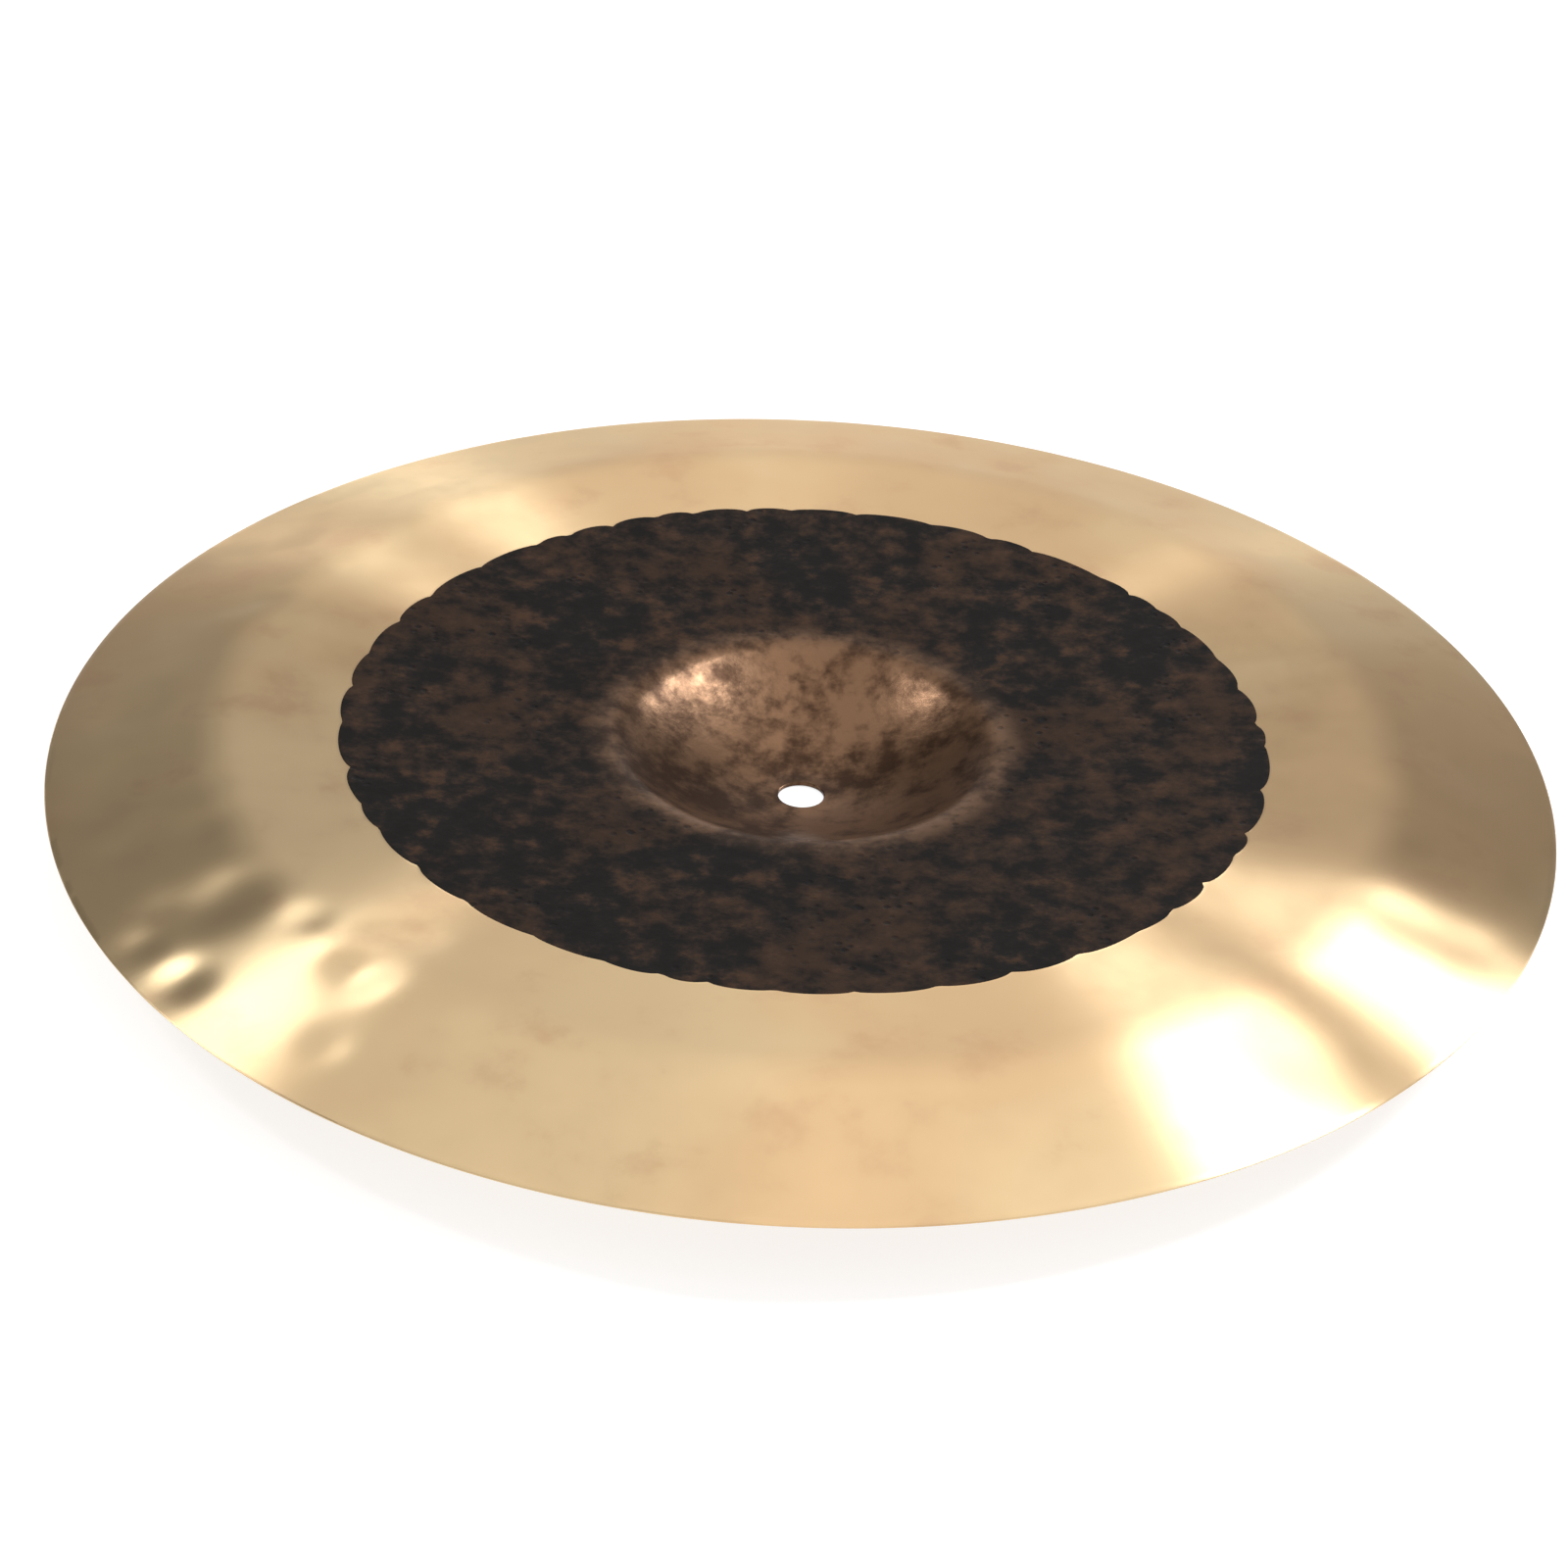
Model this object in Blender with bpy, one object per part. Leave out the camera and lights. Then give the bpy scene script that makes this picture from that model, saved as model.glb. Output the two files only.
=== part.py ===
"""Sixteen inch china cymbal, lying on its bell with its underside up.

A cymbal is one disc of bronze. The sheet is rolled, a cup is pressed in its
middle for the bell, the rim is turned back, and the disc is hammered round and
round until the bow has its curve. A lathe then thins and brightens the outer part
of both faces and leaves the middle raw. Where the lathe ran out into the hammer
blows, the edge of the raw middle is a row of shallow lobes, not a clean circle.

The model follows that order. A chain of arcs, each tangent to the next, gives the
form line, which is the upper face before the lathe touched it. The wall and the
lathe cut are set off square to that line, the closed section is spun round the
axis of the hole, and the edge of the raw middle is then drawn into its lobes.

The hole's axis is Z, and the flat of the bell lies on the plane Z = 0.
"""

import math
import random

import bmesh
import bpy

MM = 0.001

# Disc
DIAMETER = 406.4 * MM
HOLE_DIAMETER = 12.7 * MM

# Bell: a round cup with a flat spot for the felt, and a rounded lip
SEAT_DIAMETER = 22.0 * MM
BELL_DIAMETER = 109.8 * MM
BELL_DEPTH = 19.2 * MM
LIP_RADIUS = 11.0 * MM

# Bow: it leaves the bell nearly level and steepens towards the crest
BOW_SLOPE_AT_BELL = math.radians(3.2)
BOW_SLOPE_AT_CREST = math.radians(5.2)

# Turned rim: the crest is the fold, and the flange falls from it to the edge
CREST_RADIUS = 40.0 * MM
FLANGE_WIDTH = 46.7 * MM
FLANGE_SLOPE = math.radians(12.4)

# Metal
BELL_WALL = 1.3 * MM
RIM_WALL = 0.75 * MM
EDGE_BREAK = 0.25 * MM

# Raw middle, which stands proud of the lathed metal by one cut of the lathe
RAW_DIAMETER = 252.6 * MM
LATHE_CUT = 0.12 * MM
CUT_RUN_OUT = 0.6 * MM
LOBE_WIDTH = 22.0 * MM
LOBE_DEPTH = 1.4 * MM

# Fineness of the mesh
CUP_STEPS = 5
LIP_STEPS = 3
BOW_STEPS = 4
CREST_STEPS = 3
FLANGE_STEPS = 2
SEGMENTS_PER_LOBE = 3
SMOOTH_BELOW = math.radians(25.0)

# Marks that the section's points carry through the spin
PLAIN = 0
UPPER_EDGE = 1
LOWER_EDGE = 2
LOBE_SEEDS = {UPPER_EDGE: 16, LOWER_EDGE: 40}

RIM = DIAMETER / 2
RAW = RAW_DIAMETER / 2


class Straight:
    """A straight stretch of the form line."""

    def __init__(self, start, slope, end_radius, steps):
        self.start = start
        self.slope = slope
        self.steps = steps
        self.end = (end_radius, self.at(end_radius)[0])

    def at(self, radius):
        """Height and slope of the line at a distance from the axis."""
        start_radius, start_height = self.start
        rise = (radius - start_radius) * math.tan(self.slope)
        return start_height + rise, self.slope

    def radii(self):
        """Distances from the axis where the mesh gets a ring."""
        start_radius = self.start[0]
        run = self.end[0] - start_radius
        return [start_radius + run * step / self.steps for step in range(self.steps)]


class Arc:
    """A round stretch of the form line that starts tangent to a given slope.

    A positive radius makes a hollow that holds water, a negative one a dome.
    """

    def __init__(self, start, radius, slope_from, slope_to, steps):
        self.radius = radius
        self.slope_from = slope_from
        self.slope_to = slope_to
        self.steps = steps
        self.centre_radius = start[0] - radius * math.sin(slope_from)
        self.centre_height = start[1] + radius * math.cos(slope_from)
        self.end = self.point(slope_to)

    def point(self, slope):
        """Point of the arc that has this slope."""
        return (
            self.centre_radius + self.radius * math.sin(slope),
            self.centre_height - self.radius * math.cos(slope),
        )

    def at(self, radius):
        """Height and slope of the arc at a distance from the axis."""
        slope = math.asin((radius - self.centre_radius) / self.radius)
        return self.point(slope)[1], slope

    def radii(self):
        """Distances from the axis where the mesh gets a ring, evenly spaced in slope."""
        turn = self.slope_to - self.slope_from
        slopes = [self.slope_from + turn * step / self.steps for step in range(self.steps)]
        return [self.point(slope)[0] for slope in slopes]


def cup_radius(seat, lip_centre_radius, lip_centre_height):
    """Radius of the cup that starts at the seat's edge and touches the lip's circle.

    The cup's centre is on the axis. Its circle passes through the edge of the seat,
    and lies as far from the lip's centre as both radii together. Putting the first
    into the second leaves one quadratic, and this is the root that touches the lip.
    """
    reach = (lip_centre_radius**2 + lip_centre_height**2 - seat**2 - LIP_RADIUS**2) / 2
    spread = math.sqrt(reach**2 - seat**2 * (LIP_RADIUS**2 - lip_centre_height**2))
    above = reach**2 + (lip_centre_height * seat) ** 2
    return above / (reach * LIP_RADIUS + lip_centre_height * spread)


def form_line():
    """The upper face before the lathe, from the hole to the rim, as a list of stretches."""
    hole = HOLE_DIAMETER / 2
    seat = SEAT_DIAMETER / 2
    bell = BELL_DIAMETER / 2

    lip_centre_radius = bell + LIP_RADIUS * math.sin(BOW_SLOPE_AT_BELL)
    lip_centre_height = BELL_DEPTH - LIP_RADIUS * math.cos(BOW_SLOPE_AT_BELL)
    cup = cup_radius(seat, lip_centre_radius, lip_centre_height)
    cup_slope_at_seat = math.asin(seat / cup)
    cup_slope_at_lip = math.asin(lip_centre_radius / (cup + LIP_RADIUS))

    crest_start = RIM - FLANGE_WIDTH - CREST_RADIUS * math.sin(BOW_SLOPE_AT_CREST)
    bow_turn = math.sin(BOW_SLOPE_AT_CREST) - math.sin(BOW_SLOPE_AT_BELL)
    bow_radius = (crest_start - bell) / bow_turn

    line = [Straight((hole, 0.0), 0.0, seat, 1)]
    line.append(Arc(line[-1].end, cup, cup_slope_at_seat, cup_slope_at_lip, CUP_STEPS))
    line.append(Arc(line[-1].end, -LIP_RADIUS, cup_slope_at_lip, BOW_SLOPE_AT_BELL, LIP_STEPS))
    line.append(Arc(line[-1].end, bow_radius, BOW_SLOPE_AT_BELL, BOW_SLOPE_AT_CREST, BOW_STEPS))
    line.append(Arc(line[-1].end, -CREST_RADIUS, BOW_SLOPE_AT_CREST, -FLANGE_SLOPE, CREST_STEPS))
    line.append(Straight(line[-1].end, -FLANGE_SLOPE, RIM, FLANGE_STEPS))
    return line


def height_and_slope(line, radius):
    """Read the form line at a distance from the axis. The seat is level to its edge."""
    for stretch in line:
        if radius <= stretch.end[0]:
            return stretch.at(radius)
    return line[-1].at(radius)


def ring_radii(line, edge_break):
    """Radii of the mesh's rings, with two close ones for the run-out of the lathe's cut."""
    run_out = (RAW - CUT_RUN_OUT / 2, RAW + CUT_RUN_OUT / 2)
    room = LOBE_DEPTH + CUT_RUN_OUT
    radii = [radius for stretch in line for radius in stretch.radii()]
    radii[0] += edge_break
    radii.append(RIM - edge_break)
    radii = [radius for radius in radii if abs(radius - RAW) > room]
    return sorted(radii + list(run_out))


def rough_wall(radius):
    """Wall before lathing: even over the bell, then thinner all the way to the rim."""
    bell = BELL_DIAMETER / 2
    rim_rough_wall = RIM_WALL + 2 * LATHE_CUT
    share = max(0.0, (radius - bell) / (RIM - bell))
    return BELL_WALL + (rim_rough_wall - BELL_WALL) * share


def section():
    """Closed outline of the section as (radius, height, mark), once round the metal."""
    line = form_line()
    edge_break = min(EDGE_BREAK, 0.4 * RIM_WALL)
    upper = []
    lower = []
    for radius in ring_radii(line, edge_break):
        height, slope = height_and_slope(line, radius)
        cut = LATHE_CUT if radius > RAW else 0.0
        at_raw_edge = abs(radius - RAW) < CUT_RUN_OUT
        for face, depth, mark in (
            (upper, cut, UPPER_EDGE),
            (lower, rough_wall(radius) - cut, LOWER_EDGE),
        ):
            face_radius = radius + depth * math.sin(slope)
            face_height = BELL_WALL + height - depth * math.cos(slope)
            face.append((face_radius, face_height, mark if at_raw_edge else PLAIN))

    rim = [(RIM, upper[-1][1] - edge_break, PLAIN), (RIM, lower[-1][1] + edge_break, PLAIN)]
    hole = [
        (HOLE_DIAMETER / 2, edge_break, PLAIN),
        (HOLE_DIAMETER / 2, BELL_WALL - edge_break, PLAIN),
    ]
    return upper + rim + lower[::-1] + hole


def lobe_count():
    """Lobes round the raw middle, as near as whole lobes come to their named width."""
    return max(3, round(math.pi * RAW_DIAMETER / LOBE_WIDTH))


def spin_section(bm, outline):
    """Spin the outline round the hole's axis and give back the layer of its marks."""
    mark_layer = bm.verts.layers.int.new("mark")
    verts = []
    for radius, height, mark in outline:
        vert = bm.verts.new((radius, 0.0, height))
        vert[mark_layer] = mark
        verts.append(vert)
    edges = [bm.edges.new((verts[index - 1], verts[index])) for index in range(len(verts))]
    bmesh.ops.spin(
        bm,
        geom=verts + edges,
        axis=(0.0, 0.0, 1.0),
        cent=(0.0, 0.0, 0.0),
        angle=2 * math.pi,
        steps=lobe_count() * SEGMENTS_PER_LOBE,
        use_merge=True,
    )
    bmesh.ops.recalc_face_normals(bm, faces=bm.faces)
    return mark_layer


def lobe_profile(seed):
    """How far each segment's corner of the raw edge lies inside its full radius.

    A lobe bulges between two notches. Hammer blows are never alike, so each notch
    has its own depth, and each lobe leans a little to one side.
    """
    chance = random.Random(seed)
    inset = []
    for _ in range(lobe_count()):
        inset.append(LOBE_DEPTH * chance.uniform(0.35, 1.0))
        for _ in range(SEGMENTS_PER_LOBE - 1):
            inset.append(LOBE_DEPTH * chance.uniform(0.0, 0.25))
    return inset


def draw_lobes(bm, mark_layer):
    """Draw the raw edge of each face into its lobes, along the slope of the bow."""
    slope = height_and_slope(form_line(), RAW)[1]
    for mark, seed in LOBE_SEEDS.items():
        inset = lobe_profile(seed)
        for vert in bm.verts:
            if vert[mark_layer] != mark:
                continue
            turn = math.atan2(vert.co.y, vert.co.x) / (2 * math.pi)
            inward = inset[round(turn * len(inset)) % len(inset)]
            radius = vert.co.xy.length
            vert.co.x *= 1 - inward / radius
            vert.co.y *= 1 - inward / radius
            vert.co.z -= inward * math.tan(slope)


def bronze(name, colour, roughness, metallic):
    """A plain bronze finish."""
    material = bpy.data.materials.new(name)
    material.use_nodes = True
    shader = material.node_tree.nodes["Principled BSDF"]
    shader.inputs["Base Color"].default_value = (*colour, 1.0)
    shader.inputs["Roughness"].default_value = roughness
    shader.inputs["Metallic"].default_value = metallic
    return material


def make_cymbal():
    """The whole cymbal as one closed mesh, with a raw and a lathed finish."""
    bm = bmesh.new()
    mark_layer = spin_section(bm, section())
    for face in bm.faces:
        face.material_index = int(face.calc_center_median().xy.length > RAW)
    draw_lobes(bm, mark_layer)

    mesh = bpy.data.meshes.new("cymbal")
    bm.to_mesh(mesh)
    bm.free()
    mesh.materials.append(bronze("raw_bronze", (0.030, 0.019, 0.013), 0.55, 0.6))
    mesh.materials.append(bronze("lathed_bronze", (0.60, 0.40, 0.20), 0.28, 1.0))
    mesh.shade_smooth()
    mesh.set_sharp_from_angle(angle=SMOOTH_BELOW)

    cymbal = bpy.data.objects.new("cymbal", mesh)
    bpy.context.scene.collection.objects.link(cymbal)
    return cymbal


for old in list(bpy.data.objects):
    bpy.data.objects.remove(old)

make_cymbal()
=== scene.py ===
# %% [markdown]
# # A hammered china cymbal, lying on its bell
#
# The real object is one disc of cast bronze. Its middle was left as it came from the
# fire and the hammer, dark and pitted, and its outer part was turned bright on a lathe.
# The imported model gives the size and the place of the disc. This script puts a finer
# disc in the same space, dents it, and gives it the two finishes.

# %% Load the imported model
import math

import bpy
import numpy as np
from mathutils import Matrix, Vector


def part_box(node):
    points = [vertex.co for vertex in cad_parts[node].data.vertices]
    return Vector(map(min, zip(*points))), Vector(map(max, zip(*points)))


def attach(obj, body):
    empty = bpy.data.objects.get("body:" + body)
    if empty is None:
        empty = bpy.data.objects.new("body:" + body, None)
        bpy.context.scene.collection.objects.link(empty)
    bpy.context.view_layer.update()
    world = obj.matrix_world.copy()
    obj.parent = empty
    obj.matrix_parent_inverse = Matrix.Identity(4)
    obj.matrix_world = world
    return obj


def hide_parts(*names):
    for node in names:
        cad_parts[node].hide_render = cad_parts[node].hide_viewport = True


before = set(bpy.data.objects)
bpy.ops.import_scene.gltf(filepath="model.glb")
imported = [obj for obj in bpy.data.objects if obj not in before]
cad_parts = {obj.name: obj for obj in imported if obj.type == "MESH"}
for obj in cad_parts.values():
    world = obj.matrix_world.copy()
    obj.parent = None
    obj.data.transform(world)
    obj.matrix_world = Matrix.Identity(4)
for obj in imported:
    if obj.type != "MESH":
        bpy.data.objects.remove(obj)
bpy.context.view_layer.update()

MM = 0.001
FULL_TURN = 2 * math.pi
cad_low, cad_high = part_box("cymbal")
rim_radius = cad_high.x
print("packed disc, mm:", [round(side / MM, 2) for side in cad_high - cad_low])

# %% [markdown]
# ## The camera
#
# A camera could be pushed about by eye until the picture fits, but a round object tells
# where it stood. The rim, the edge of the raw middle, the bell and the hole are circles
# on one axis, and each shows as an ellipse in the photograph. Their shapes and offsets
# leave one answer: 4.2 radii away and a little over thirty degrees up, with the picture
# tilted slightly. The aim is a point near the centre, as high as the rim.

# %% Place the camera
PICTURE_PIXELS = 1600
FOCAL_PIXELS = 3178
SENSOR_MM = 36.0
CAMERA_RADII = 4.2
CAMERA_ELEVATION = math.radians(31.38)
CAMERA_ROLL = math.radians(-2.96)
RIM_HEIGHT = 18.55 * MM
AIM_TO_LEFT = 4.7 * MM
AIM_TO_FRONT = 22.5 * MM

stand_off = CAMERA_RADII * rim_radius
aim = Vector((-AIM_TO_LEFT, -AIM_TO_FRONT, RIM_HEIGHT))
eye = Vector((0.0, -stand_off * math.cos(CAMERA_ELEVATION), RIM_HEIGHT))
eye.z += stand_off * math.sin(CAMERA_ELEVATION)


def turned_to(place, target, roll=0.0):
    """World matrix of a camera or lamp that stands at a place and looks at a target."""
    forward = (target - place).normalized()
    level = forward.cross(Vector((0, 0, 1))).normalized()
    upright = level.cross(forward)
    right = level * math.cos(roll) - upright * math.sin(roll)
    up = level * math.sin(roll) + upright * math.cos(roll)
    turn = Matrix((right, up, -forward)).transposed().to_4x4()
    return Matrix.Translation(place) @ turn


camera_data = bpy.data.cameras.new("camera")
camera_data.sensor_width = SENSOR_MM
camera_data.lens = FOCAL_PIXELS / PICTURE_PIXELS * SENSOR_MM
camera = bpy.data.objects.new("camera", camera_data)
camera.matrix_world = turned_to(eye, aim, CAMERA_ROLL)
bpy.context.scene.collection.objects.link(camera)
bpy.context.scene.camera = camera
print("camera distance, mm:", round(stand_off / MM), "lens, mm:", round(camera_data.lens, 1))

# %% [markdown]
# ## The section of the disc
#
# A turned thing is known by its section. From the hole outwards this one is a flat for
# the felt, the round cup of the bell, a rounded lip, a long bow that steepens slowly, the
# round fold of the crest, and the flange that falls straight to the edge. It could be
# drawn freely as a curve, but polished metal shows every kink. So it is a chain of arcs,
# each starting with the slope that the last one ended with, and a highlight runs over
# the joins without a break. A positive radius makes a hollow and a negative one a dome.

# %% Sizes of the section
HOLE_RADIUS = 6.35 * MM
SEAT_RADIUS = 11.0 * MM
BELL_RADIUS = 54.9 * MM
BELL_DEPTH = 19.2 * MM
LIP_ROUNDING = 11.0 * MM
CREST_ROUNDING = 40.0 * MM
FLANGE_WIDTH = 46.7 * MM
BOW_SLOPE_AT_BELL = math.radians(3.2)
BOW_SLOPE_AT_CREST = math.radians(5.2)
FLANGE_SLOPE = math.radians(12.4)

lip_centre_radius = BELL_RADIUS + LIP_ROUNDING * math.sin(BOW_SLOPE_AT_BELL)
lip_centre_height = BELL_DEPTH - LIP_ROUNDING * math.cos(BOW_SLOPE_AT_BELL)
crest_start = rim_radius - FLANGE_WIDTH - CREST_ROUNDING * math.sin(BOW_SLOPE_AT_CREST)
print("crest starts at, mm:", round(crest_start / MM, 1))

# %% [markdown]
# The cup's own radius isn't measured, it follows. Its circle passes through the edge of
# the seat, has its centre on the axis, and touches the lip's circle. Those conditions
# make one quadratic equation. The bow's radius follows from its two slopes in the same
# way, from the width that it has to cover.

# %% Work out the cup and the bow


def cup_radius():
    """Radius of the circle that leaves the seat's edge and touches the lip's circle."""
    reach = lip_centre_radius**2 + lip_centre_height**2 - SEAT_RADIUS**2 - LIP_ROUNDING**2
    reach /= 2
    spread = math.sqrt(reach**2 - SEAT_RADIUS**2 * (LIP_ROUNDING**2 - lip_centre_height**2))
    above = reach**2 + (lip_centre_height * SEAT_RADIUS) ** 2
    return above / (reach * LIP_ROUNDING + lip_centre_height * spread)


def bow_radius():
    """Radius of the arc that steepens from one slope to the other over the bow's width."""
    gain = math.sin(BOW_SLOPE_AT_CREST) - math.sin(BOW_SLOPE_AT_BELL)
    return (crest_start - BELL_RADIUS) / gain


def arc_from(start, radius, slope_from, slope_to):
    """One round stretch: its centre, its radius and the point where it ends."""
    centre_radius = start[0] - radius * math.sin(slope_from)
    centre_height = start[1] + radius * math.cos(slope_from)
    end_radius = centre_radius + radius * math.sin(slope_to)
    end_height = centre_height - radius * math.cos(slope_to)
    centre = (centre_radius, centre_height)
    return {"centre": centre, "radius": radius, "end": (end_radius, end_height)}


cup_rounding = cup_radius()
slope_at_seat = math.asin(SEAT_RADIUS / cup_rounding)
slope_at_lip = math.asin(lip_centre_radius / (cup_rounding + LIP_ROUNDING))
cup = arc_from((SEAT_RADIUS, 0.0), cup_rounding, slope_at_seat, slope_at_lip)
lip = arc_from(cup["end"], -LIP_ROUNDING, slope_at_lip, BOW_SLOPE_AT_BELL)
bow = arc_from(lip["end"], bow_radius(), BOW_SLOPE_AT_BELL, BOW_SLOPE_AT_CREST)
crest = arc_from(bow["end"], -CREST_ROUNDING, BOW_SLOPE_AT_CREST, -FLANGE_SLOPE)
print("cup radius, mm:", round(cup_rounding / MM, 2), "lip end, mm:", round(lip["end"][1] / MM, 2))

# %% Height and slope anywhere on the form line


def form_line(radius):
    """Height above the seat and slope of the upper face before the lathe touched it."""
    if radius <= SEAT_RADIUS:
        return 0.0, 0.0
    for stretch in (cup, lip, bow, crest):
        if radius <= stretch["end"][0]:
            slope = math.asin((radius - stretch["centre"][0]) / stretch["radius"])
            return stretch["centre"][1] - stretch["radius"] * math.cos(slope), slope
    fall = (radius - crest["end"][0]) * math.tan(FLANGE_SLOPE)
    return crest["end"][1] - fall, -FLANGE_SLOPE


print("rim above the seat, mm:", round(form_line(rim_radius)[0] / MM, 2))

# %% [markdown]
# ## The wall
#
# The real sheet is thickest in the bell and thins towards the rim, and the lathe takes a
# last skin off both faces outside the raw middle. A Solidify modifier gives one even
# wall, so here both faces are laid out from the form line instead. The wall is set off
# square to the line, so it doesn't pinch round the cup. Rings of the mesh are close at
# the lip and at the edge of the raw middle, where the eye looks for a clean curve, and
# wider on the long plain stretches. The face that lies down needs fewer.

# %% Lay out both faces
BELL_WALL = 1.3 * MM
RIM_WALL = 0.75 * MM
EDGE_BREAK = 0.25 * MM
RAW_RADIUS = 126.3 * MM
LATHE_CUT = 0.12 * MM
CUT_RUN_OUT = 0.6 * MM

LIP_STARTS = 48.5 * MM
LOBES_START = 122.6 * MM
LOBES_END = 130.0 * MM
CREST_END = 165.1 * MM
ring_ends = (SEAT_RADIUS, LIP_STARTS, BELL_RADIUS, LOBES_START, LOBES_END,
             crest_start, CREST_END, rim_radius - EDGE_BREAK)
UPPER_RINGS = (3, 26, 8, 36, 20, 12, 8, 22)
LOWER_RINGS = (2, 10, 4, 9, 8, 3, 4, 4)


def ring_radii(counts):
    """Distances from the axis, evenly spaced inside each stretch."""
    radii = [HOLE_RADIUS + EDGE_BREAK]
    for end, count in zip(ring_ends, counts):
        start = radii[-1]
        radii += [start + (end - start) * step / count for step in range(1, count + 1)]
    return radii


def rough_wall(radius):
    """Wall before lathing: even over the bell, then thinner towards the rim."""
    share = max(0.0, (radius - BELL_RADIUS) / (rim_radius - BELL_RADIUS))
    return BELL_WALL + (RIM_WALL + 2 * LATHE_CUT - BELL_WALL) * share


def face_point(radius, lower):
    """Point of the upper or the lower face that belongs to a point of the form line."""
    height, slope = form_line(radius)
    run_out = (radius - RAW_RADIUS) / CUT_RUN_OUT + 0.5
    cut = LATHE_CUT * min(1.0, max(0.0, run_out))
    depth = rough_wall(radius) - cut if lower else cut
    return radius + depth * math.sin(slope), BELL_WALL + height - depth * math.cos(slope)


upper_face = [face_point(radius, False) for radius in ring_radii(UPPER_RINGS)]
lower_face = [face_point(radius, True) for radius in ring_radii(LOWER_RINGS)]
rim_top = (rim_radius, upper_face[-1][1] - EDGE_BREAK)
rim_bottom = (rim_radius, lower_face[-1][1] + EDGE_BREAK)
hole_bottom = (HOLE_RADIUS, EDGE_BREAK)
hole_top = (HOLE_RADIUS, BELL_WALL - EDGE_BREAK)
outline = upper_face + [rim_top, rim_bottom] + lower_face[::-1] + [hole_bottom, hole_top]
print("points round the section:", len(outline))

# %% [markdown]
# ## The disc
#
# The disc could be made with a Screw modifier, but Spin is what a hand would use. A closed
# loop that is spun round an axis makes a solid ring. The loop starts as a circle with one
# corner for each point of the section. The corners are laid along the section, and Spin
# carries the loop once round. The last copy meets the first, so doubles are merged and
# the normals recalculated. An operator works on all that is selected, so each piece
# starts with nothing selected.

# %% Spin the section into a disc
SEGMENTS = 512
MERGE_DISTANCE = 0.01 * MM


def deselect_everything():
    """Leave nothing selected, because the loader selects all that it brings in."""
    if bpy.context.mode != "OBJECT":
        bpy.ops.object.mode_set(mode="OBJECT")
    bpy.ops.object.select_all(action="DESELECT")


deselect_everything()
bpy.ops.mesh.primitive_circle_add(vertices=len(outline), radius=rim_radius, location=(0, 0, 0))
disc = bpy.context.object
disc.name = "hammered_disc"
for corner, (radius, height) in zip(disc.data.vertices, outline):
    corner.co = (radius, 0.0, height)
bpy.ops.object.mode_set(mode="EDIT")
bpy.ops.mesh.select_all(action="SELECT")
bpy.ops.mesh.spin(steps=SEGMENTS, angle=FULL_TURN, center=(0, 0, 0), axis=(0, 0, 1))
bpy.ops.mesh.select_all(action="SELECT")
bpy.ops.mesh.remove_doubles(threshold=MERGE_DISTANCE)
bpy.ops.mesh.normals_make_consistent(inside=False)
bpy.ops.object.mode_set(mode="OBJECT")
print("disc faces:", len(disc.data.polygons), "corners:", len(disc.data.vertices))

# %% [markdown]
# ## Two finishes on one disc
#
# One material could tell the raw middle from the lathed ring by a mask, but shader
# settings such as the anisotropy are best left constant. So there are two materials.
# Faces inside the edge of the raw middle take the first and faces outside it the second.
# They are told apart while the edge is still a clean circle. Then the edge is drawn into
# lobes, and the join of the two materials goes with it.

# %% Tell the raw faces from the lathed ones
corners = np.empty(len(disc.data.vertices) * 3)
disc.data.vertices.foreach_get("co", corners)
corners = corners.reshape(-1, 3)
radii = np.hypot(corners[:, 0], corners[:, 1])
angles = np.arctan2(corners[:, 1], corners[:, 0])
centres = np.empty(len(disc.data.polygons) * 3)
disc.data.polygons.foreach_get("center", centres)
face_radii = np.hypot(centres[0::3], centres[1::3])
is_lathed = (face_radii > RAW_RADIUS).astype(np.int32)
print("raw and lathed faces:", int((is_lathed == 0).sum()), int(is_lathed.sum()))

# %% [markdown]
# The lathe tool can't follow the hollows that the hammer left, so where the cut begins,
# each blow leaves a lobe of dark skin with a notch on either side. The lobes are eleven
# to twenty-five millimetres long and the notches up to three millimetres deep, all
# unlike. Corners within reach of the edge slide inwards along the bow, the nearest ones
# most, so the mesh stays even on both sides of it.

# %% Draw the raw edge into lobes
LOBE_LENGTHS = (11.0 * MM, 25.0 * MM)
NOTCH_DEPTHS = (0.7 * MM, 2.8 * MM)
LOBE_REACH = 3.4 * MM
LOBE_FULLNESS = 0.45
SEED = 31
chance = np.random.default_rng(SEED)


def notch_places():
    """Angles of the notches, once round, and the depth of each."""
    steps = []
    while sum(steps) < FULL_TURN:
        steps.append(chance.uniform(*LOBE_LENGTHS) / RAW_RADIUS)
    places = np.cumsum(steps) * FULL_TURN / sum(steps)
    return places - places[0], chance.uniform(*NOTCH_DEPTHS, len(places))


def lobe_inset(turn, places, depths):
    """How far the raw edge is drawn in at an angle: deep at a notch, nothing between."""
    turn = np.mod(turn, FULL_TURN)
    left = np.searchsorted(places, turn, side="right") - 1
    right = (left + 1) % len(places)
    width = np.mod(places[right] - places[left], FULL_TURN)
    across = np.clip((turn - places[left]) / width, 0, 1)
    notch = depths[left] * (1 - across) + depths[right] * across
    return notch * (1 - np.sin(math.pi * across) ** LOBE_FULLNESS)


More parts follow.
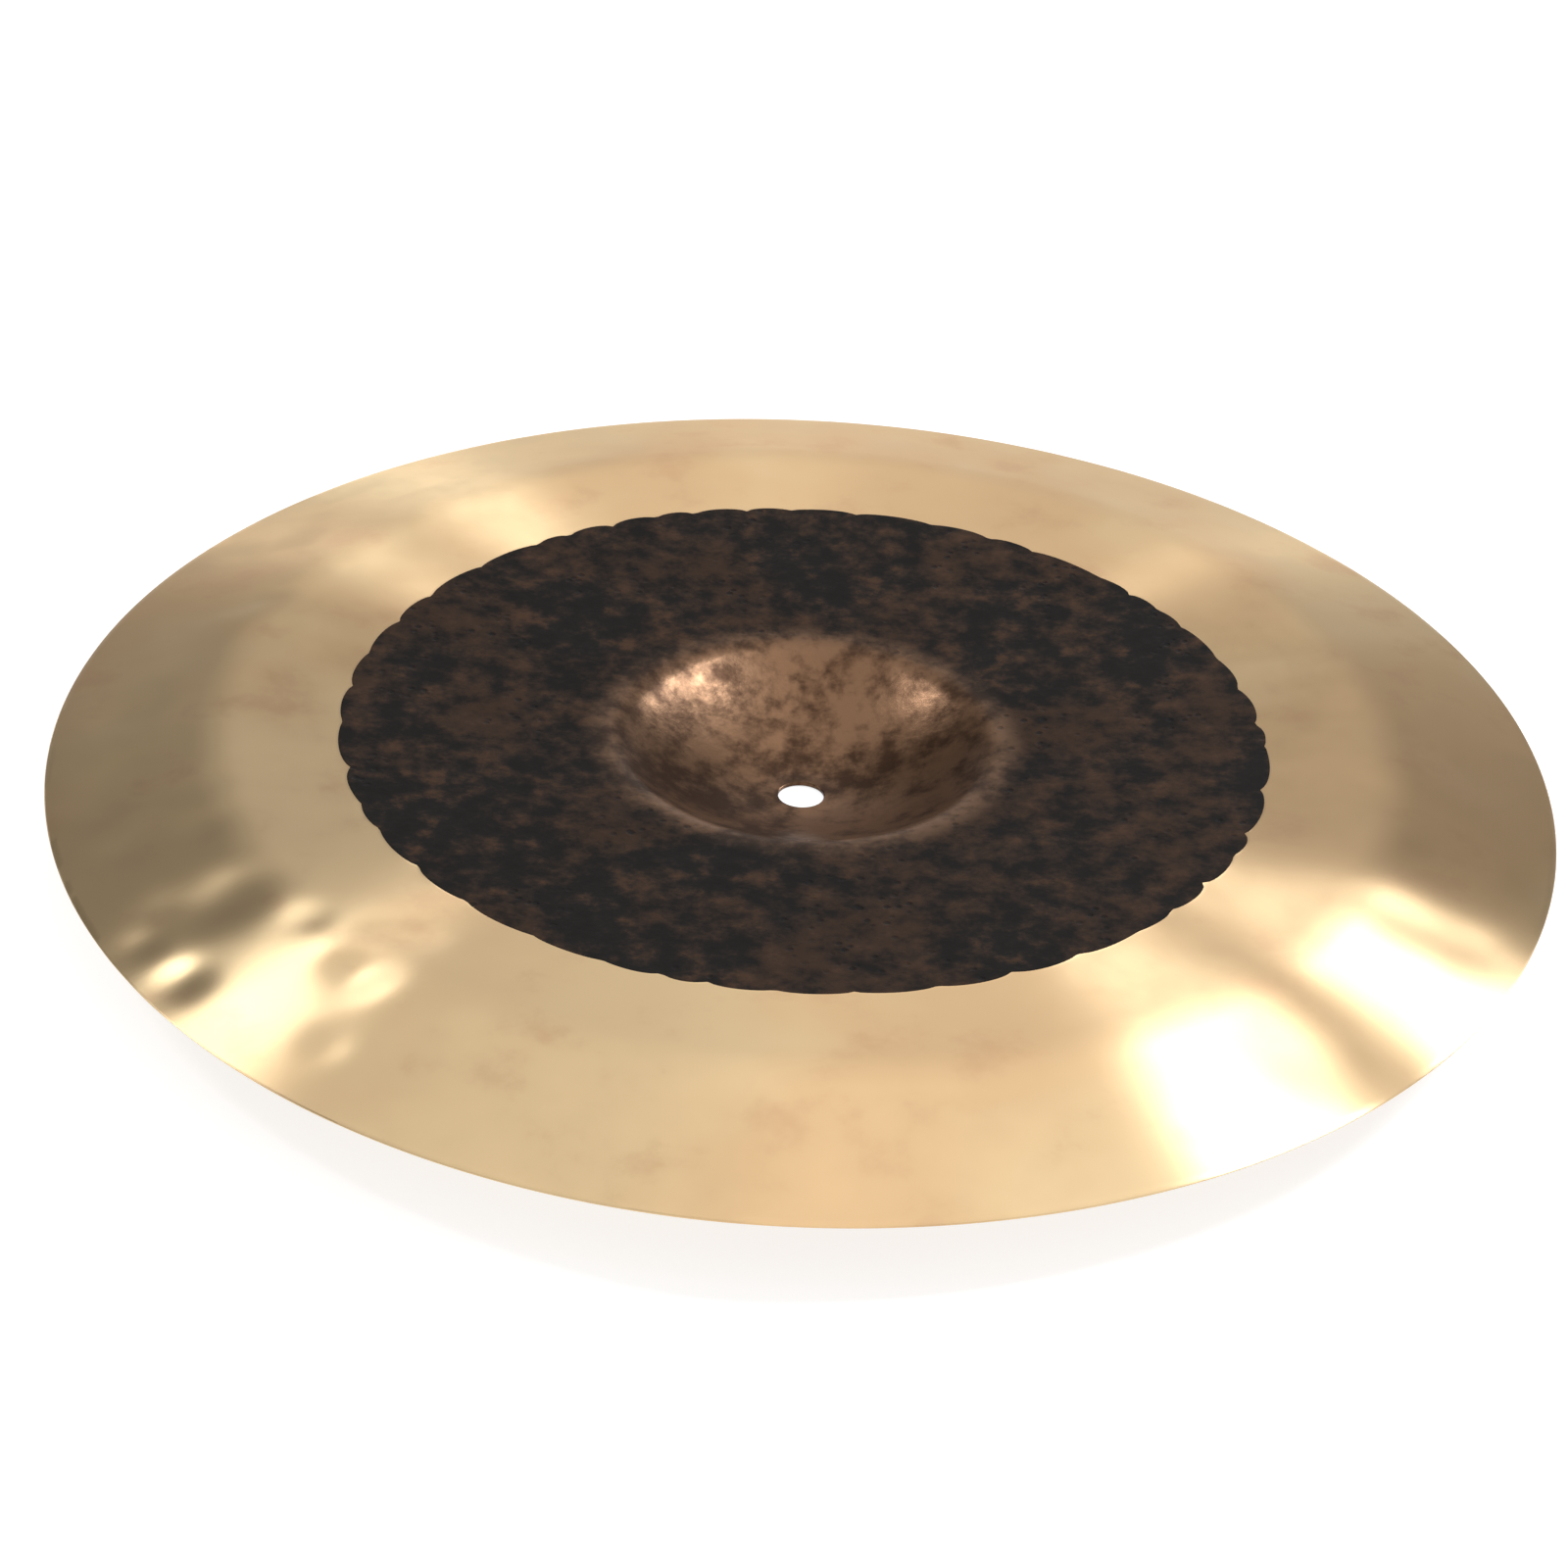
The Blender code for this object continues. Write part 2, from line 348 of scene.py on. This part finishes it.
places, depths = notch_places()
nearness = np.clip(1 - np.abs(radii - RAW_RADIUS) / LOBE_REACH, 0, 1)
inset = lobe_inset(angles, places, depths) * nearness
drawn = (radii - inset) / radii
corners[:, 0] *= drawn
corners[:, 1] *= drawn
corners[:, 2] -= inset * math.tan(form_line(RAW_RADIUS)[1])
print("notches:", len(places), "deepest, mm:", round(float(inset.max()) / MM, 2))

# %% [markdown]
# ## Hammer blows
#
# The bow got its curve from the hammer, and a blow leaves a shallow round dent. Bump in
# the material could fake the small ones, but the big ones have to bend the reflections
# and the shape alike, so all are real. Dents are close in the raw middle. On the lathed
# ring the tool has taken off their rims, so they are wider and fainter. Broad soft
# hollows lie under both, and late blows stand out on the two flanks of the ring, deepest
# at the near left. A dent moves both faces alike, because a hammered sheet keeps its
# thickness, and nothing sinks below the seat.

# %% Say where the blows fall
ALL_ROUND = (0.0, 360.0)
NEAR_LEFT = (211.0, 236.0)
LEFT = (160.0, 205.0)
RIGHT = (-50.0, 30.0)
raw_zone = (60, RAW_RADIUS / MM)
ring_zone = (RAW_RADIUS / MM, rim_radius / MM)
BLOW_GROUPS = (
    {"count": 420, "zone": raw_zone, "widths": (2.8, 4.5), "depths": (0.02, 0.08), "turns": ALL_ROUND},
    {"count": 260, "zone": ring_zone, "widths": (6, 9), "depths": (0.01, 0.05), "turns": ALL_ROUND},
    {"count": 60, "zone": (60, 190), "widths": (14, 26), "depths": (0.05, 0.22), "turns": ALL_ROUND},
    {"count": 18, "zone": (144, 196), "widths": (3.8, 5.6), "depths": (0.2, 0.45), "turns": NEAR_LEFT},
    {"count": 20, "zone": (150, 194), "widths": (4.5, 7), "depths": (0.1, 0.32), "turns": LEFT},
    {"count": 14, "zone": (150, 190), "widths": (6, 9), "depths": (0.1, 0.35), "turns": RIGHT},
)


def blows(count, zone, widths, depths, turns):
    """Random blows of one group: place, width and depth of each, all in millimetres."""
    inner, outer = zone
    radius = np.sqrt(chance.uniform(inner**2, outer**2, count))
    turn = np.radians(chance.uniform(*turns, count))
    width = chance.uniform(*widths, count)
    depth = chance.uniform(*depths, count)
    return np.column_stack((radius * np.cos(turn), radius * np.sin(turn), width, depth))


all_blows = np.vstack([blows(**group) for group in BLOW_GROUPS]) * MM
print("blows:", len(all_blows))

# %% Dent the disc
REACH_IN_WIDTHS = 3.5

for east, north, width, depth in all_blows:
    away = (corners[:, 0] - east) ** 2 + (corners[:, 1] - north) ** 2
    near = away < (REACH_IN_WIDTHS * width) ** 2
    corners[near, 2] -= depth * np.exp(-away[near] / (2 * width**2))
corners[:, 2] = np.maximum(corners[:, 2], 0.0)
disc.data.vertices.foreach_set("co", corners.ravel())
disc.data.update()
print("highest corner, mm:", round(float(corners[:, 2].max()) / MM, 2))

# %% [markdown]
# ## Building materials from nodes
#
# Both finishes are procedural and read Object coordinates, so they stay on the disc
# wherever it goes. Wiring nodes one call at a time makes long scripts, so small helpers
# do it. They add a node, set its options, and fill its inputs with numbers or with what
# other nodes put out.

# %% Helpers that add nodes


def fill(tree, node, inputs):
    """Give each input of a node a number or a link."""
    for name, value in inputs.items():
        if isinstance(value, bpy.types.NodeSocket):
            tree.links.new(value, node.inputs[name])
        else:
            node.inputs[name].default_value = value


def add(tree, kind, options=None, inputs=None):
    """Add a node, set its options and fill its inputs."""
    node = tree.nodes.new("ShaderNode" + kind)
    for name, value in (options or {}).items():
        setattr(node, name, value)
    fill(tree, node, inputs or {})
    return node


def calc(tree, operation, first, second=0.0):
    """One step of arithmetic on two values."""
    return add(tree, "Math", {"operation": operation}, {0: first, 1: second}).outputs[0]


def product(tree, first, *others):
    """Several values multiplied."""
    for value in others:
        first = calc(tree, "MULTIPLY", first, value)
    return first


def weighed_sum(tree, *parts):
    """Several values added up, each times its weight."""
    total = 0.0
    for value, weight in parts:
        total = calc(tree, "ADD", total, calc(tree, "MULTIPLY", value, weight))
    return total


# %% Helpers for patterns and colours


def between(tree, value, span, result=(0.0, 1.0)):
    """Map a value from a span to a result, softly, and hold it at both ends."""
    options = {"interpolation_type": "SMOOTHSTEP"}
    inputs = {"Value": value, "From Min": span[0], "From Max": span[1]}
    inputs.update({"To Min": result[0], "To Max": result[1]})
    return add(tree, "MapRange", options, inputs).outputs[0]


def noise(tree, vector, scale, detail, roughness):
    """Soft random patches, as a value from 0 to 1. The scale is in patches to a metre."""
    inputs = {"Vector": vector, "Scale": scale, "Detail": detail, "Roughness": roughness}
    return add(tree, "TexNoise", None, inputs).outputs["Fac"]


def blend_colours(tree, share, first, second):
    """Mix two colours, given as numbers or as links."""
    node = add(tree, "Mix", {"data_type": "RGBA"}, {0: share})
    for index, colour in ((6, first), (7, second)):
        if not isinstance(colour, bpy.types.NodeSocket):
            colour = (*colour, 1.0)
        fill(tree, node, {index: colour})
    return node.outputs[2]


def blend_values(tree, share, first, second):
    """Mix two plain values."""
    return add(tree, "Mix", {"data_type": "FLOAT"}, {0: share, 2: first, 3: second}).outputs[0]


# %% A helper that starts a finish


def new_finish(name):
    """A material with its shader, the place on the disc, and the millimetres from the axis."""
    material = bpy.data.materials.new(name)
    material.use_nodes = True
    tree = material.node_tree
    shader = tree.nodes["Principled BSDF"]
    place = add(tree, "TexCoord").outputs["Object"]
    flat = add(tree, "VectorMath", {"operation": "MULTIPLY"}, {0: place, 1: (1.0, 1.0, 0.0)})
    length = add(tree, "VectorMath", {"operation": "LENGTH"}, {0: flat.outputs[0]})
    from_axis = calc(tree, "MULTIPLY", length.outputs["Value"], 1 / MM)
    return material, tree, shader, place, from_axis


# %% [markdown]
# ## Raw bronze
#
# The skin that the furnace leaves is a dark oxide, nearly black in places and coppery
# brown in others, dull but not matt. It is pitted where the casting had bubbles. The
# bell was pressed and rubbed, so its copper shows and its skin shines more. A painted
# picture would do, but noise has no seams and no edge to its detail. Broad blotches and
# finer patches together give the mottle.

# %% Colours of the oxide
SOOT_BLACK = (0.0040, 0.0024, 0.0018)
OXIDE_BROWN = (0.026, 0.0115, 0.0052)
COPPER_RED = (0.075, 0.032, 0.012)
BELL_SHADE = (0.055, 0.028, 0.016)
BELL_COPPER = (0.21, 0.115, 0.065)
PIT_BLACK = (0.003, 0.002, 0.002)
BELL_FADE = (62.0, 48.0)
COPPER_SHARE = 0.4


def oxide_colour(tree, mottle, patches, bell):
    """Black, brown and copper patches on the bow, and warmer ones in the bell."""
    brown = between(tree, mottle, (0.44, 0.60))
    skin = blend_colours(tree, brown, SOOT_BLACK, OXIDE_BROWN)
    copper = between(tree, patches, (0.54, 0.74), (0.0, COPPER_SHARE))
    skin = blend_colours(tree, copper, skin, COPPER_RED)
    rubbed = between(tree, mottle, (0.40, 0.62))
    warm = blend_colours(tree, rubbed, BELL_SHADE, BELL_COPPER)
    return blend_colours(tree, bell, skin, warm)


# %% [markdown]
# The pits come from a Voronoi pattern, which scatters points and tells how far the
# nearest one is. Close to a point it gives a small round hole. Slow noise lets the holes
# through in clusters only, as bubbles lie in a casting, and the bell has none.

# %% Pits of the casting
PITS_TO_A_METRE = 260
PIT_SIZE = (0.34, 0.12)
PIT_CLUSTERS = (0.52, 0.64)
PITS_START = (50.0, 60.0)


def casting_pits(tree, place, from_axis):
    """Small round holes in clusters, as a value that is 1 in a hole."""
    scatter = {"Vector": place, "Scale": PITS_TO_A_METRE, "Randomness": 1.0}
    cells = add(tree, "TexVoronoi", {"feature": "F1"}, scatter)
    hole = between(tree, cells.outputs["Distance"], PIT_SIZE)
    cluster = between(tree, noise(tree, place, 34, 3, 0.6), PIT_CLUSTERS)
    return product(tree, hole, cluster, between(tree, from_axis, PITS_START))


# %% Make the raw bronze
PIT_DARKNESS = 0.85
RAW_BUMP_STRENGTH = 0.55
RAW_BUMP_HEIGHT = 0.5 * MM
MOST_OF_NOISE = (0.3, 0.7)
BOW_ROUGHNESS = (0.62, 0.46)
BELL_ROUGHNESS = (0.40, 0.31)
METAL_FADE = (62.0, 46.0)
METAL_SHOWS = (0.2, 0.9)
SKIN_SHINE = 0.14


def raw_bronze():
    """Dark mottled oxide with pits, browner and smoother in the bell."""
    material, tree, shader, place, from_axis = new_finish("raw_bronze")
    broad = noise(tree, place, 30, 5, 0.6)
    patches = noise(tree, place, 120, 6, 0.65)
    grain = noise(tree, place, 420, 4, 0.6)
    mottle = weighed_sum(tree, (broad, 0.55), (patches, 0.45))
    bell = between(tree, from_axis, BELL_FADE)
    pits = casting_pits(tree, place, from_axis)

    colour = oxide_colour(tree, mottle, patches, bell)
    colour = blend_colours(tree, product(tree, pits, PIT_DARKNESS), colour, PIT_BLACK)
    relief = weighed_sum(tree, (patches, 0.5), (grain, 0.22), (pits, -0.9))
    raised = {"Strength": RAW_BUMP_STRENGTH, "Distance": RAW_BUMP_HEIGHT, "Height": relief}
    rough = between(tree, patches, MOST_OF_NOISE, BOW_ROUGHNESS)
    smooth = between(tree, patches, MOST_OF_NOISE, BELL_ROUGHNESS)
    fill(tree, shader, {
        "Base Color": colour,
        "Roughness": blend_values(tree, bell, rough, smooth),
        "Metallic": between(tree, from_axis, METAL_FADE, METAL_SHOWS),
        "Specular IOR Level": SKIN_SHINE,
        "Normal": add(tree, "Bump", None, raised).outputs[0],
    })
    return material


disc.data.materials.append(raw_bronze())
print("first material:", disc.data.materials[0].name)

# %% [markdown]
# ## Lathed bronze
#
# The tool leaves hair-fine grooves that run round the disc. Light bounces off their
# sides, so a lamp shows as a streak from the bell to the rim and not as a spot. Modelling
# the grooves would take millions of faces. Blender does it with anisotropy: the Tangent
# node gives the direction round the axis, and a quarter turn of the anisotropy spreads
# the shine across the grooves. The colour is a warm gold that drifts towards rose and
# has faint brown wisps, as tin bronze gets when it ages.

# %% Make the lathed bronze
PALE_GOLD = (0.82, 0.605, 0.345)
ROSY_GOLD = (0.76, 0.52, 0.285)
TARNISH = (0.66, 0.40, 0.23)
TARNISH_SHARE = 0.45
GROOVE_STRENGTH = 0.14
GROOVE_HEIGHT = 0.1 * MM
LATHED_ROUGHNESS = (0.28, 0.33)
QUARTER_TURN = 0.25


def grooves(tree, from_axis):
    """Relief that changes only with the distance from the axis, broad and fine."""
    across = add(tree, "CombineXYZ", None, {"X": from_axis}).outputs[0]
    bands = noise(tree, across, 0.55, 6, 0.75)
    hairs = noise(tree, across, 3.2, 3, 0.7)
    return weighed_sum(tree, (bands, 0.4), (hairs, 0.25))


def lathed_bronze():
    """Bright bronze with fine concentric grooves and faint tarnish."""
    material, tree, shader, place, from_axis = new_finish("lathed_bronze")
    clouds = noise(tree, place, 9, 4, 0.5)
    wisps = noise(tree, place, 38, 5, 0.6)
    gold = blend_colours(tree, between(tree, clouds, (0.40, 0.60)), PALE_GOLD, ROSY_GOLD)
    tarnished = between(tree, wisps, (0.52, 0.72), (0.0, TARNISH_SHARE))
    raised = {"Strength": GROOVE_STRENGTH, "Distance": GROOVE_HEIGHT}
    raised["Height"] = grooves(tree, from_axis)
    round_axis = add(tree, "Tangent", {"direction_type": "RADIAL", "axis": "Z"}).outputs[0]
    fill(tree, shader, {
        "Base Color": blend_colours(tree, tarnished, gold, TARNISH),
        "Roughness": between(tree, wisps, MOST_OF_NOISE, LATHED_ROUGHNESS),
        "Metallic": 1.0,
        "Anisotropic": 1.0,
        "Anisotropic Rotation": QUARTER_TURN,
        "Tangent": round_axis,
        "Normal": add(tree, "Bump", None, raised).outputs[0],
    })
    return material


disc.data.materials.append(lathed_bronze())
print("second material:", disc.data.materials[1].name)

# %% [markdown]
# The faces now take their material, the disc is shaded smooth apart from its sharp
# corners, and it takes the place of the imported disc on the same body.

# %% Finish the disc
SHARP_CORNER = math.radians(30)

disc.data.polygons.foreach_set("material_index", is_lathed)
deselect_everything()
disc.select_set(True)
bpy.context.view_layer.objects.active = disc
bpy.ops.object.shade_smooth_by_angle(angle=SHARP_CORNER)
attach(disc, "root")
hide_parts("cymbal")
print("materials:", [material.name for material in disc.data.materials])

# %% [markdown]
# ## The floor
#
# The picture has a white ground. More light could turn a grey floor white, but it would
# burn out the metal too. So the floor glows by itself to rays from the camera and from
# reflections, and stays plain pale paint to all other rays. It still takes the shadow of
# the disc, and lies just under the seat so that the two faces don't mix.

# %% Lay the floor
FLOOR_SIDE = 12.0
FLOOR_DROP = 0.2 * MM
FLOOR_GLOW = 0.78
SHADOW_GREY = (0.34, 0.34, 0.34, 1.0)
PAPER_WHITE = (0.8, 0.8, 0.8, 1.0)


def floor_finish():
    """White floor that looks white in the picture and in the metal, and takes a shadow."""
    material = bpy.data.materials.new("white_floor")
    material.use_nodes = True
    tree = material.node_tree
    tree.nodes.remove(tree.nodes["Principled BSDF"])
    path = add(tree, "LightPath")
    seen = calc(tree, "MAXIMUM", path.outputs["Is Camera Ray"], path.outputs["Is Glossy Ray"])
    seen = calc(tree, "MAXIMUM", seen, path.outputs["Is Transmission Ray"])
    glow = add(tree, "Emission", None, {"Strength": FLOOR_GLOW}).outputs[0]
    thin = add(tree, "BsdfDiffuse", None, {"Color": SHADOW_GREY}).outputs[0]
    paint = add(tree, "BsdfDiffuse", None, {"Color": PAPER_WHITE}).outputs[0]
    shown = add(tree, "AddShader", None, {0: glow, 1: thin}).outputs[0]
    both = add(tree, "MixShader", None, {0: seen, 1: paint, 2: shown}).outputs[0]
    tree.links.new(both, tree.nodes["Material Output"].inputs["Surface"])
    return material


deselect_everything()
bpy.ops.mesh.primitive_plane_add(size=FLOOR_SIDE, location=(0, 0, -FLOOR_DROP))
floor = bpy.context.object
floor.name = "floor"
floor.data.materials.append(floor_finish())
print("floor side, m:", FLOOR_SIDE)

# %% [markdown]
# ## Lamps
#
# Bright metal shows its surroundings, so the light matters as much as the finish. The
# photograph has two white streaks at the right of the ring and a smaller one at the left.
# A streak runs where the direction halfway between the eye and a lamp leans straight
# outwards, and that rule gave the three directions. Narrow lamps keep the streaks apart.

# %% Hang the lamps
LAMP_DISTANCE = 1.6
COOL_WHITE = (0.85, 0.93, 1.0)
SOFT_WHITE = (0.9, 0.95, 1.0)
heart = Vector((0.0, 0.0, RIM_HEIGHT))


def softbox(name, towards, width, height, glow, colour):
    """A rectangular lamp at a direction from the disc. Glow 1 would show as plain white."""
    lamp = bpy.data.lights.new(name, "AREA")
    lamp.shape = "RECTANGLE"
    lamp.size = width
    lamp.size_y = height
    lamp.energy = glow * math.pi * width * height
    lamp.color = colour
    holder = bpy.data.objects.new(name, lamp)
    place = heart + Vector(towards).normalized() * LAMP_DISTANCE
    holder.matrix_world = turned_to(place, heart)
    bpy.context.scene.collection.objects.link(holder)


softbox("right_key", (0.616, 0.11, 0.78), 0.16, 0.44, 58.6, COOL_WHITE)
softbox("right_low", (0.744, 0.40, 0.535), 0.18, 0.40, 53.5, COOL_WHITE)
softbox("left_fill", (-0.70, 0.17, 0.69), 0.12, 0.36, 45.8, SOFT_WHITE)

# %% [markdown]
# ## The room
#
# The rest of the light comes from the world, which stands in for a pale room. It is
# white at the horizon, where the floor carries on, softer behind the disc and brighter
# overhead, which gives the bow and the near flange an even sheen. Its sides are dim, and
# the flanks of the disc darken for it. The left is a little dimmer than the right. Seen
# by the camera itself the room is white, as the floor is.

# %% Light the room
HORIZON_GLOW = 0.95
MIDDLE_GLOW = 0.78
CEILING_GLOW = 1.30
SIDE_LOSS = 0.78
LEFT_LOSS = 0.22
ROOM_WHITE = (1.0, 0.99, 0.98, 1.0)


def room_glow(tree, aside, height):
    """Glow of the room in a direction, from its sideways and its upward share."""
    low = between(tree, height, (0.0, 0.2), (HORIZON_GLOW, MIDDLE_GLOW))
    high = between(tree, height, (0.45, 0.88), (0.0, CEILING_GLOW - MIDDLE_GLOW))
    at_side = between(tree, calc(tree, "ABSOLUTE", aside), (0.13, 0.36))
    above_floor = between(tree, height, (0.02, 0.2))
    below_ceiling = between(tree, height, (0.9, 0.6))
    side_loss = product(tree, at_side, above_floor, below_ceiling, SIDE_LOSS)
    left_loss = between(tree, aside, (-0.03, -0.07), (0.0, LEFT_LOSS))
    side_keeps = calc(tree, "SUBTRACT", 1.0, side_loss)
    left_keeps = calc(tree, "SUBTRACT", 1.0, left_loss)
    return product(tree, calc(tree, "ADD", low, high), side_keeps, left_keeps)


def room():
    """A world with the glow of the room, plain white to the camera."""
    world = bpy.data.worlds.new("room")
    world.use_nodes = True
    tree = world.node_tree
    direction = add(tree, "TexCoord").outputs["Generated"]
    shares = add(tree, "SeparateXYZ", None, {0: direction}).outputs
    glow = room_glow(tree, shares["X"], shares["Z"])
    camera_ray = add(tree, "LightPath").outputs["Is Camera Ray"]
    strength = calc(tree, "MAXIMUM", glow, camera_ray)
    fill(tree, tree.nodes["Background"], {"Color": ROOM_WHITE, "Strength": strength})
    return world


bpy.context.scene.world = room()
bpy.context.scene.view_settings.view_transform = "Standard"
print("room glow:", HORIZON_GLOW, MIDDLE_GLOW, CEILING_GLOW)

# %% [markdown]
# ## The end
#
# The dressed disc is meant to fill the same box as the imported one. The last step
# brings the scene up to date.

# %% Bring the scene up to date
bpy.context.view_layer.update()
